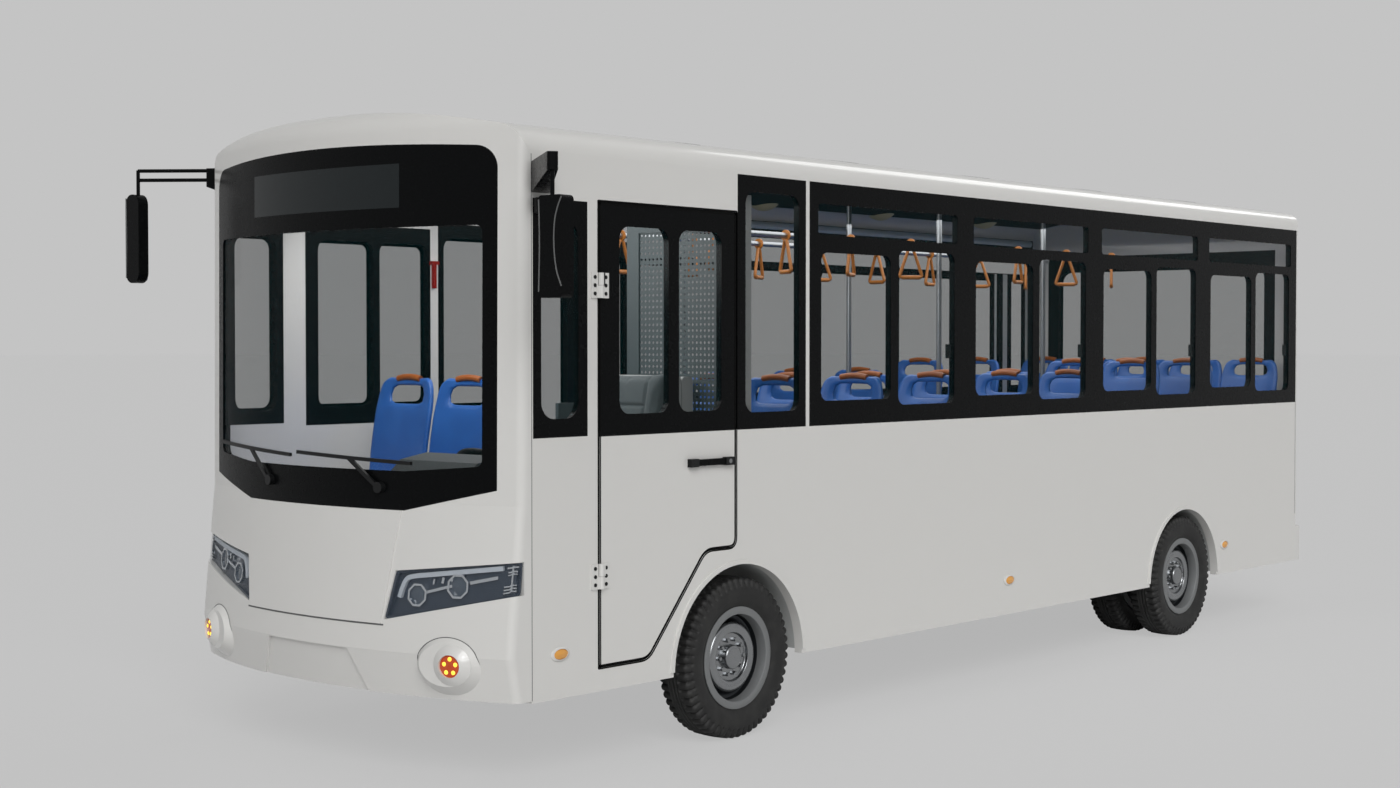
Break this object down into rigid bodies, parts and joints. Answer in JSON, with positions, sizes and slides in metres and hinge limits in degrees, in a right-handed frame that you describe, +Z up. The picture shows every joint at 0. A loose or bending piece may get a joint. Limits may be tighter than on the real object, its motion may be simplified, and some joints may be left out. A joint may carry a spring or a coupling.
{
  "type": "eight metre electric city bus",
  "caption": "White battery-electric city bus with a bowed windscreen, a black glazed window band, a driver's door, a two-leaf passenger door, blue moulded seats and twin rear wheels.",
  "frame": {"origin": "on the ground under the middle of the overall box", "axes": "+X to the bus's left, the driver's side; +Y to the rear, so the bus faces -Y; +Z up"},
  "size_m": [3.093, 7.9998, 2.91],
  "materials": {
    "white_paint": "gloss",
    "black_band": "gloss",
    "tinted_glass": "gloss",
    "headlamp_glass": "gloss",
    "amber_lens": "gloss",
    "red_lens": "gloss",
    "black_plastic": "matte",
    "grey_plastic": "matte",
    "floor_vinyl": "matte",
    "blue_seat": "satin",
    "grey_fabric": "matte",
    "orange_grip": "satin",
    "rail_steel": "satin",
    "chassis_black": "satin",
    "tyre_rubber": "matte",
    "rim_steel": "satin"
  },
  "bodies": {
    "bus_body": {"left_wall": "white_paint", "right_wall": "white_paint", "roof": "white_paint", "front_mask": "white_paint", "bumpers": "white_paint", "rear_panel": "white_paint", "left_band": "black_band", "right_band": "black_band", "windscreen_frame": "black_band", "rear_window_frame": "black_band", "window_glass": "tinted_glass", "windscreen": "tinted_glass", "headlamps": "headlamp_glass", "amber_lamps": "amber_lens", "tail_lamps": "red_lens", "mirrors": "black_plastic", "wipers": "black_plastic", "dashboard": "grey_plastic", "display_box": "grey_plastic", "wheel_boxes": "grey_plastic", "partition": "grey_plastic", "floor": "floor_vinyl", "seats": "blue_seat", "driver_seat": "grey_fabric", "hand_holds": "orange_grip", "grab_rails": "rail_steel", "chassis_frame": "chassis_black", "leaf_springs": "chassis_black", "front_axle": "chassis_black", "rear_axle": "chassis_black", "drive_units": "chassis_black", "tow_eyes": "chassis_black"},
    "driver_door": {"driver_door": "white_paint", "driver_door_frame": "black_band", "driver_door_glass": "tinted_glass"},
    "front_leaf": {"front_leaf": "black_band", "front_leaf_glass": "tinted_glass"},
    "rear_leaf": {"rear_leaf": "black_band", "rear_leaf_glass": "tinted_glass"},
    "steering_wheel": {"steering_wheel": "black_plastic"},
    "knuckle_left": {"knuckle_left": "chassis_black"},
    "knuckle_right": {"knuckle_right": "chassis_black"},
    "front_left_wheel": {"front_left_tyre": "tyre_rubber", "front_left_rim": "rim_steel"},
    "front_right_wheel": {"front_right_tyre": "tyre_rubber", "front_right_rim": "rim_steel"},
    "rear_left_wheels": {"rear_left_tyres": "tyre_rubber", "rear_left_rims": "rim_steel"},
    "rear_right_wheels": {"rear_right_tyres": "tyre_rubber", "rear_right_rims": "rim_steel"}
  },
  "joints": [
    {"name": "driver_door_hinge", "type": "hinge", "parent": "bus_body", "child": "driver_door", "pos_m": [1.1135, -3.241, 1.5], "axis": [0, 0, -1], "range_deg": [0, 70]},
    {"name": "front_leaf_hinge", "type": "hinge", "parent": "bus_body", "child": "front_leaf", "pos_m": [-1.1135, -1.731, 1.5], "axis": [0, 0, 1], "range_deg": [0, 88]},
    {"name": "rear_leaf_hinge", "type": "hinge", "parent": "bus_body", "child": "rear_leaf", "pos_m": [-1.1135, -0.719, 1.5], "axis": [0, 0, -1], "range_deg": [0, 88]},
    {"name": "steer_left", "type": "hinge", "parent": "bus_body", "child": "knuckle_left", "pos_m": [0.868, -2.258, 0.3875], "axis": [0, 0, 1], "range_deg": [-35, 35]},
    {"name": "steer_right", "type": "hinge", "parent": "bus_body", "child": "knuckle_right", "pos_m": [-0.868, -2.258, 0.3875], "axis": [0, 0, 1], "range_deg": [-35, 35]},
    {"name": "steering_wheel_turn", "type": "hinge", "parent": "bus_body", "child": "steering_wheel", "pos_m": [0.545, -3.285, 1.295], "axis": [0, 0.5, 0.866], "range_deg": [-560, 560]},
    {"name": "front_left_spin", "type": "hinge", "parent": "knuckle_left", "child": "front_left_wheel", "pos_m": [0.985, -2.258, 0.3875], "axis": [1, 0, 0], "continuous": true},
    {"name": "front_right_spin", "type": "hinge", "parent": "knuckle_right", "child": "front_right_wheel", "pos_m": [-0.985, -2.258, 0.3875], "axis": [1, 0, 0], "continuous": true},
    {"name": "rear_left_spin", "type": "hinge", "parent": "bus_body", "child": "rear_left_wheels", "pos_m": [0.985, 2.197, 0.3875], "axis": [1, 0, 0], "continuous": true},
    {"name": "rear_right_spin", "type": "hinge", "parent": "bus_body", "child": "rear_right_wheels", "pos_m": [-0.985, 2.197, 0.3875], "axis": [1, 0, 0], "continuous": true}
  ],
  "couplings": [
    {"joint": "steer_right", "follows": "steer_left", "ratio": 1},
    {"joint": "steering_wheel_turn", "follows": "steer_left", "ratio": 16}
  ]
}
